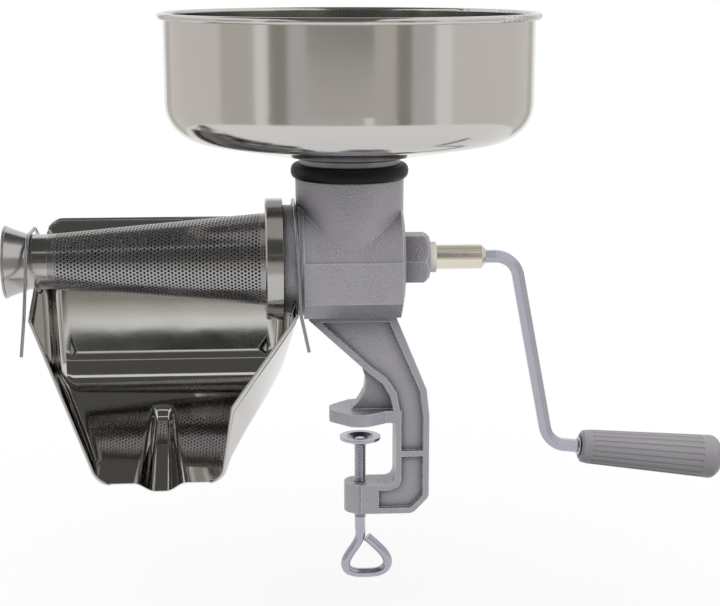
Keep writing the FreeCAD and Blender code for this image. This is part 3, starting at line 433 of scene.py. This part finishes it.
def trayStations(p, floorLength):
    # edge, fold, fold and edge from left to right, then a share: -1 to 0 on the back, 0 to 1 on the floor
    stations = []
    for i in range(tray["backSteps"] + 1):
        t = i / tray["backSteps"]
        a, b = p["backL"].lerp(p["frontL"], t), p["backL"].lerp(p["foldL"], t)
        c, d = p["backR"].lerp(p["foldR"], t), p["backR"].lerp(p["frontR"], t)
        stations.append([a, b, c, d, t - 1])
    lipShare = tray["lipRound"] / floorLength
    floorSteps, lipSteps = tray["floorSteps"], tray["lipSteps"]
    shares = [(1 - lipShare) * i / floorSteps for i in range(1, floorSteps + 1)]
    for i in range(1, lipSteps + 1):
        shares.append(1 - lipShare + lipShare * math.sin(math.pi * i / (2 * lipSteps)))
    for t in shares:
        a, b = p["frontL"].lerp(p["lipL"], t), p["foldL"].lerp(p["lipL"], t)
        c = p["foldR"].lerp(p["lipR"], t)
        z = p["frontR"].z + (p["lipR"].z - p["frontR"].z) * t
        upper, lower = (p["frontR"], p["kinkR"]) if z > p["kinkR"].z else (p["kinkR"], p["lipR"])
        d = upper.lerp(lower, (upper.z - z) / (upper.z - lower.z))
        past = min(1.0, max(0.0, (t - 1 + lipShare) / lipShare))
        inset = Vector((tray["lipRound"] * (1 - math.sqrt(1 - past ** 2)), 0, 0))
        stations.append([a + inset, b + inset, c - inset, d - inset, t])
    return stations


def softenFold(stations, p, floorLength):
    # the fold between back and floor is softened by pulling nearby stations inwards
    reach = tray["foldRound"]
    backLength = (p["backL"] - p["foldL"]).length
    for station in stations:
        share = station[4]
        away = -share * backLength if share < 0 else share * floorLength
        if away < reach:
            pull = p["inward"] * (1 - away / reach) ** 2 * reach * tray["foldPull"]
            station[1] = station[1] + pull
            station[2] = station[2] + pull


def intoChannel(q, t, middleX, floorNormal):
    # lowers a floor point that lies in the pouring channel
    if t <= tray["channelStart"]:
        return q
    share = (t - tray["channelStart"]) / (1 - tray["channelStart"])
    half = tray["channelNarrow"] + (tray["channelWide"] - tray["channelNarrow"]) * share
    slope = half - tray["channelFlat"]
    off = abs(q.x - middleX) - tray["channelFlat"]
    if off >= slope:
        return q
    dip = 0.5 * (1 + math.cos(math.pi * max(off, 0.0) / slope))
    ease = min(1.0, share / tray["channelEase"])
    shallow = tray["channelShallow"]
    sunk = (shallow + (1 - shallow) * share) * ease * ease * (3 - 2 * ease)
    return q + floorNormal * tray["channelDepth"] * sunk * dip


def trayRows(stations, p):
    floorNormal = (p["foldR"] - p["foldL"]).cross(p["lipL"] - p["foldL"]).normalized()
    floorNormal = floorNormal if floorNormal.z < 0 else -floorNormal
    middleX = (p["lipL"].x + p["lipR"].x) / 2
    wallSteps, columns = tray["wallSteps"], tray["floorColumns"]
    rows = []
    for a, b, c, d, t in stations:
        a = clearOfNotch(a, b, tray["neckNotch"])
        d = clearOfNotch(d, c, tray["collarNotch"])
        left = sideBend(a, b, c, (a - b).length)
        right = sideBend(b, c, d, (d - c).length)
        floor = [left[-1].lerp(right[0], i / columns) for i in range(1, columns)]
        row = [a.lerp(left[0], i / wallSteps) for i in range(wallSteps)] + left
        row += [intoChannel(q, t, middleX, floorNormal) for q in floor]
        row += right + [right[-1].lerp(d, i / wallSteps) for i in range(1, wallSteps + 1)]
        rows.append(row)
    return rows


def roundTopCorners(rows, p):
    # the upper corners of the back panel are rounded
    top = tray["topRound"]
    for row in rows:
        for q in row:
            for corner, side in ((p["backL"], 1), (p["backR"], -1)):
                dx = (q.x - corner.x) * side
                if -tray["topMargin"] < dx < top and q.y > tray["backFrom"]:
                    away = top - max(dx, 0)
                    q.z = min(q.z, corner.z - top + math.sqrt(max(top ** 2 - away ** 2, 0)))


def makeHem(rows):
    edge = [row[0] for row in rows[::-1]] + rows[0][1:-1] + [row[-1] for row in rows]
    line = bpy.data.curves.new("trayHem", "CURVE")
    line.dimensions = "3D"
    line.bevel_depth = tray["hem"] * mm
    line.bevel_resolution = tray["hemRound"]
    spline = line.splines.new("POLY")
    spline.points.add(len(edge) - 1)
    for point, q in zip(spline.points, edge):
        point.co = (*(q * mm), 1)
    line.materials.append(finishes["tray"])
    hem = bpy.data.objects.new("trayHem", line)
    scene.collection.objects.link(hem)
    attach(hem, "frame")


def makeTray():
    p = {name: Vector(value) for name, value in tray.items() if isinstance(value, tuple)}
    floorLength = (p["foldL"] - p["lipL"]).length
    stations = trayStations(p, floorLength)
    softenFold(stations, p, floorLength)
    rows = trayRows(stations, p)
    roundTopCorners(rows, p)
    width = len(rows[0])
    verts = [q * mm for row in rows for q in row]
    faces = []
    for r in range(len(rows) - 1):
        for k in range(width - 1):
            faces.append((r * width + k, r * width + k + 1, (r + 1) * width + k + 1, (r + 1) * width + k))
    piece = newPiece("dripTray", verts, faces, "tray", "frame", smoothAngle=50)
    thicken = piece.modifiers.new("sheet", "SOLIDIFY")
    thicken.thickness = tray["sheet"] * mm
    thicken.offset = 0
    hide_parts("drip_tray")
    makeHem(rows)
    print("drip tray:", len(verts), "points")


makeTray()


# rubber ring under the bowl
gasket = {
    "axisX": -7.0, "inner": 31.5, "shoulder": 34.2, "radius": 39.0, "low": 166.2, "high": 176.2,
    "fullness": 0.7, "steps": 24,
}


def makeGasket():
    middle, half = (gasket["low"] + gasket["high"]) / 2, (gasket["high"] - gasket["low"]) / 2
    bulge = gasket["radius"] - gasket["shoulder"]
    rows = [(gasket["inner"], gasket["low"])]
    for i in range(gasket["steps"] + 1):
        a = math.pi * (i / gasket["steps"] - 0.5)
        out = bulge * math.cos(a) ** gasket["fullness"]
        rows.append((gasket["shoulder"] + out, middle + half * math.sin(a)))
    rows.append((gasket["inner"], gasket["high"]))
    piece = newPiece("gasketRing", *latheAboutZ(rows, gasket["axisX"]), "rubber", "hopper", smoothAngle=50)
    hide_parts("hopper_gasket")
    print("gasket ring made")


makeGasket()


# rolled edge of the outlet's mouth
mouth = {"x": -233.5, "radius": 23.1, "bead": 0.9, "beadSteps": 12, "sides": 72}


def makeMouthBead():
    rows = []
    for i in range(mouth["beadSteps"] + 1):
        a = 2 * math.pi * i / mouth["beadSteps"]
        across, out = mouth["bead"] * math.cos(a), mouth["bead"] * math.sin(a)
        rows.append((mouth["x"] + across, mouth["radius"] + out))
    piece = newPiece("mouthBead", *latheAlongX(rows, mouth["sides"]), "screen", "screen", smoothAngle=60)
    print("mouth bead made")


makeMouthBead()


# clamp screw: one bar bent into a loop below, with a peened end above
screw = {
    "top": -16.95, "stem": 3.6, "loop": 3.25, "taperFrom": -78.0, "taperLength": 14.0,
    "sides": 24, "bendSteps": 8,
    "rivet": 2.4, "rivetSink": 0.2, "rivetHead": 4.2, "rivetLow": -14.85, "rivetSides": 40,
    "peen": [(0.5, 0.9), (1.2, 1.5)], "peenTip": 0.01,  # how far the head draws in and how high it is there
    "bend": [(0, -60), (0, -76), (0.2, -83.5), (-2.3, -89.8), (-7.2, -97.2), (-10.0, -103.4),
             (-8.6, -108.7), (-3.0, -111.2), (4.5, -111.6), (12.0, -111.1), (17.4, -108.3),
             (19.2, -103.0), (16.4, -97.0), (10.8, -90.9), (4.9, -85.3)],
}


def smoothPath(points, steps):
    # a soft curve through every point
    path = []
    last = len(points) - 1
    for i in range(last):
        before, a, b, after = points[max(i - 1, 0)], points[i], points[i + 1], points[min(i + 2, last)]
        for k in range(steps):
            t = k / steps
            path.append(0.5 * (2 * a + (b - before) * t + (2 * before - 5 * a + 4 * b - after) * t * t
                               + (3 * a - before - 3 * b + after) * t ** 3))
    return path + [points[-1]]


def makeScrew():
    bend = [Vector((x, 0, z)) for x, z in screw["bend"]]
    path = [Vector((0, 0, screw["top"]))] + smoothPath(bend, screw["bendSteps"])
    sides, verts = screw["sides"], []
    side = Vector((0, 1, 0))
    for i, q in enumerate(path):
        along = (path[min(i + 1, len(path) - 1)] - path[max(i - 1, 0)]).normalized()
        across = along.cross(side)
        thin = 1.0  # on the way back up the bar is as thin as it gets
        if i < len(path) / 2:
            thin = min(1.0, max(0.0, (screw["taperFrom"] - q.z) / screw["taperLength"]))
        radius = screw["stem"] + (screw["loop"] - screw["stem"]) * thin
        for k in range(sides):
            a = 2 * math.pi * k / sides
            verts.append((q + (across * math.cos(a) + side * math.sin(a)) * radius) * mm)
    faces = ringFaces(len(path), sides)
    faces.append(tuple(range(sides)))
    faces.append(tuple(range((len(path) - 1) * sides, len(path) * sides)))
    low, head = screw["rivetLow"], screw["rivetHead"]
    peened = [(screw["rivet"], screw["top"] - screw["rivetSink"]), (screw["rivet"], low), (head, low)]
    peened += [(head - inset, low + rise) for inset, rise in screw["peen"]]
    peened.append((screw["peenTip"], peened[-1][1]))
    addPart(verts, faces, *latheAboutZ(peened, steps=screw["rivetSides"]))
    piece = newPiece("clampScrew", verts, faces, "zinc", "screw", smoothAngle=40)
    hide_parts("clamp_screw")
    print("clamp screw:", len(path), "rings")


makeScrew()


# rolled thread on the clamp screw
thread = {
    "low": -70.5, "high": -17.6, "pitch": 1.25, "root": 3.55, "crest": 3.98, "flank": 0.55, "flat": 0.08,
    "steps": 28,
}


def makeThread():
    turns = (thread["high"] - thread["low"]) / thread["pitch"]
    count = int(turns * thread["steps"])
    profile = [(thread["root"], -thread["flank"]), (thread["crest"], -thread["flat"]),
               (thread["crest"], thread["flat"]), (thread["root"], thread["flank"])]
    corners = len(profile)
    verts, faces = [], []
    for i in range(count + 1):
        a = 2 * math.pi * i / thread["steps"]
        z = thread["low"] + thread["pitch"] * i / thread["steps"]
        for radius, dz in profile:
            verts.append((radius * math.cos(a) * mm, radius * math.sin(a) * mm, (z + dz) * mm))
    for i in range(count):
        for k in range(corners - 1):
            first = corners * i + k
            faces.append((first, first + 1, first + corners + 1, first + corners))
    piece = newPiece("clampThread", verts, faces, "zinc", "screw", smoothAngle=30)
    print("clamp thread:", round(turns), "turns")


makeThread()


# camera at the photograph's angle
shot = {"place": (-0.073, -1.0436, 0.3034), "pitchDeg": 12.0, "yawDeg": 4.0, "lens": 79.35, "sensor": 36}


def makeCamera():
    data = bpy.data.cameras.new("photoCamera")
    data.lens = shot["lens"]
    data.sensor_width = shot["sensor"]
    data.sensor_fit = "HORIZONTAL"
    camera = bpy.data.objects.new("photoCamera", data)
    camera.location = shot["place"]
    camera.rotation_euler = Euler((math.radians(90 - shot["pitchDeg"]), 0, math.radians(-shot["yawDeg"])))
    scene.collection.objects.link(camera)
    scene.camera = camera


makeCamera()


# floor, cards and light
studio = {
    "floorZ": -0.144, "paper": (0.75, 0.75, 0.75), "floorRough": 0.9, "floorSize": 12.0, "floorGlow": 0.52,
    "world": 0.65, "near": 0.8, "far": 3.2, "wall": 1.5, "cardLift": 0.002, "streakStep": 12,
}
lamps = {
    "keyLamp": {"place": (-0.9, -1.2, 1.3), "aim": (-0.05, 0, 0.1), "size": (0.6, 0.6), "watts": 16},
    "fillLamp": {"place": (1.2, -0.9, 0.9), "aim": (0, 0, 0.05), "size": (0.5, 0.8), "watts": 11},
    "topLamp": {"place": (0, 0.4, 1.6), "aim": (0, 0, 0), "size": (1.0, 1.0), "watts": 12},
}
cardTones = {
    "white": (1.0, 1.0, 1.0), "bright": (0.95, 0.94, 0.92), "pale": (0.80, 0.765, 0.745),
    "mid": (0.61, 0.59, 0.545), "cool": (0.60, 0.59, 0.60), "dark": (0.34, 0.32, 0.28),
    "shade": (0.10, 0.098, 0.092), "night": (0.035, 0.04, 0.036),
}
# each streak starts at an angle from the camera's side and runs to the next one
streaks = [
    (-180, "white"), (-152, "mid"), (-140, "pale"), (-82, "mid"), (-57, "bright"), (-48, "dark"),
    (-36, "cool"), (-18, "mid"), (9, "bright"), (14, "mid"), (28, "dark"), (37, "cool"), (52, "bright"),
    (63, "pale"), (140, "mid"), (152, "white"), (180, "white"),
]
# bands behind the camera by height, a dim sky in front with one bright strip by angle, and a shade overhead
room = {
    "left": -1.2, "right": 0.4, "wallY": -2.2, "skyReach": 2.15,
    "bands": [(-0.14, 0.15, "mid"), (0.15, 0.21, "night"), (0.21, 0.236, "white"), (0.236, 0.248, "pale"),
              (0.248, 0.265, "mid"), (0.265, 0.30, "dark"), (0.30, 0.75, "shade")],
    "sky": [(20, 49, "shade"), (49, 53, "white"), (53, 84, "shade")],
    "overheadFrom": (-0.75, -0.25), "overheadTo": (0.3, 0.9), "overheadZ": 1.3,
}


def cameraOrGlossy(tree):
    # 1 where the camera or a mirror looks, 0 for light that falls on the object
    rays = tree.nodes.new("ShaderNodeLightPath")
    seen = tree.nodes.new("ShaderNodeMath")
    seen.operation = "MAXIMUM"
    tree.links.new(rays.outputs["Is Camera Ray"], seen.inputs[0])
    tree.links.new(rays.outputs["Is Glossy Ray"], seen.inputs[1])
    return seen.outputs["Value"]


def makeFloor():
    half = studio["floorSize"] / 2
    data = bpy.data.meshes.new("floor")
    corners = [(-half, -half, 0), (half, -half, 0), (half, half, 0), (-half, half, 0)]
    data.from_pydata(corners, [], [(0, 1, 2, 3)])
    mat = bpy.data.materials.new("paleFloor")
    mat.use_nodes = True
    tree = mat.node_tree
    shader = tree.nodes["Principled BSDF"]
    shader.inputs["Base Color"].default_value = (*studio["paper"], 1)
    shader.inputs["Roughness"].default_value = studio["floorRough"]
    shader.inputs["Specular IOR Level"].default_value = 0
    shader.inputs["Emission Color"].default_value = (1, 1, 1, 1)
    glow = tree.nodes.new("ShaderNodeMath")
    glow.operation = "MULTIPLY"
    glow.inputs[1].default_value = studio["floorGlow"]
    tree.links.new(cameraOrGlossy(tree), glow.inputs[0])
    tree.links.new(glow.outputs["Value"], shader.inputs["Emission Strength"])
    data.materials.append(mat)
    floor = bpy.data.objects.new("floor", data)
    floor.location.z = studio["floorZ"]
    scene.collection.objects.link(floor)
    # the lamps spare the floor, so it stays evenly white and only the sky's soft shadow shows on it
    spared = bpy.data.collections.new("sparedFloor")
    spared.objects.link(floor)
    spared.collection_objects[0].light_linking.link_state = "EXCLUDE"
    return spared


def makeWorld():
    world = bpy.data.worlds.new("studio")
    scene.world = world
    world.use_nodes = True
    tree = world.node_tree
    tree.nodes.clear()
    mix = tree.nodes.new("ShaderNodeMixShader")
    soft = tree.nodes.new("ShaderNodeBackground")
    soft.inputs["Color"].default_value = (1, 1, 1, 1)
    soft.inputs["Strength"].default_value = studio["world"]
    white = tree.nodes.new("ShaderNodeBackground")
    white.inputs["Color"].default_value = (1, 1, 1, 1)
    out = tree.nodes.new("ShaderNodeOutputWorld")
    tree.links.new(cameraOrGlossy(tree), mix.inputs["Fac"])
    tree.links.new(soft.outputs["Background"], mix.inputs[1])
    tree.links.new(white.outputs["Background"], mix.inputs[2])
    tree.links.new(mix.outputs["Shader"], out.inputs["Surface"])


def makeLamp(name, place, aim, size, watts, spared):
    data = bpy.data.lights.new(name, "AREA")
    data.shape = "RECTANGLE"
    data.size, data.size_y = size
    data.energy = watts
    lamp = bpy.data.objects.new(name, data)
    lamp.location = place
    lamp.rotation_euler = (Vector(aim) - Vector(place)).to_track_quat("-Z", "Y").to_euler()
    lamp.visible_glossy = False
    lamp.light_linking.receiver_collection = spared
    scene.collection.objects.link(lamp)


def makeCards(name, panels):
    # cards that only show as reflections; each panel is four corners and a tone
    verts, faces, tones = [], [], []
    for corners, tone in panels:
        faces.append(tuple(range(len(verts), len(verts) + 4)))
        verts += corners
        tones.append(tone)
    data = bpy.data.meshes.new(name)
    data.from_pydata(verts, [], faces)
    used = sorted(set(tones))
    for tone in used:
        mat = bpy.data.materials.get(tone + "Card") or bpy.data.materials.new(tone + "Card")
        mat.use_nodes = True
        shader = mat.node_tree.nodes["Principled BSDF"]
        shader.inputs["Base Color"].default_value = (0, 0, 0, 1)
        shader.inputs["Specular IOR Level"].default_value = 0
        shader.inputs["Emission Color"].default_value = (*cardTones[tone], 1)
        shader.inputs["Emission Strength"].default_value = 1
        data.materials.append(mat)
    for face, tone in zip(data.polygons, tones):
        face.material_index = used.index(tone)
    card = bpy.data.objects.new(name, data)
    scene.collection.objects.link(card)
    card.visible_camera = False
    card.visible_diffuse = False
    card.visible_shadow = False


def streakPanels():
    # wedges of floor round the object, each with a wall of the same tone behind it
    low, top = studio["floorZ"] + studio["cardLift"], studio["wall"]
    near, far = studio["near"], studio["far"]
    panels = []

    def at(degrees, reach, z):
        a = math.radians(degrees - 90 - shot["yawDeg"])
        return (reach * math.cos(a), reach * math.sin(a), z)

    for (start, tone), (end, _) in zip(streaks, streaks[1:]):
        steps = max(1, round((end - start) / studio["streakStep"]))
        for i in range(steps):
            a = start + (end - start) * i / steps
            b = start + (end - start) * (i + 1) / steps
            panels.append(([at(a, near, low), at(b, near, low), at(b, far, low), at(a, far, low)], tone))
            panels.append(([at(a, far, low), at(b, far, low), at(b, far, top), at(a, far, top)], tone))
    return panels


def roomPanels():
    # the bands are for the tray's back, the sky and the shade for its floor
    left, right = room["left"], room["right"]
    panels = []

    def addStrip(low, high, tone):
        panels.append(([(left, *low), (right, *low), (right, *high), (left, *high)], tone))

    def skyPoint(degrees):
        a = math.radians(degrees)
        return (-room["skyReach"] * math.cos(a), room["skyReach"] * math.sin(a))

    for low, high, tone in room["bands"]:
        addStrip((room["wallY"], low), (room["wallY"], high), tone)
    for low, high, tone in room["sky"]:
        addStrip(skyPoint(low), skyPoint(high), tone)
    (x0, y0), (x1, y1), z = room["overheadFrom"], room["overheadTo"], room["overheadZ"]
    panels.append(([(x0, y0, z), (x1, y0, z), (x1, y1, z), (x0, y1, z)], "shade"))
    return panels


sparedFloor = makeFloor()
makeWorld()
for lampName, lamp in lamps.items():
    makeLamp(lampName, lamp["place"], lamp["aim"], lamp["size"], lamp["watts"], sparedFloor)
makeCards("streakCards", streakPanels())
makeCards("roomCards", roomPanels())
print("studio made")
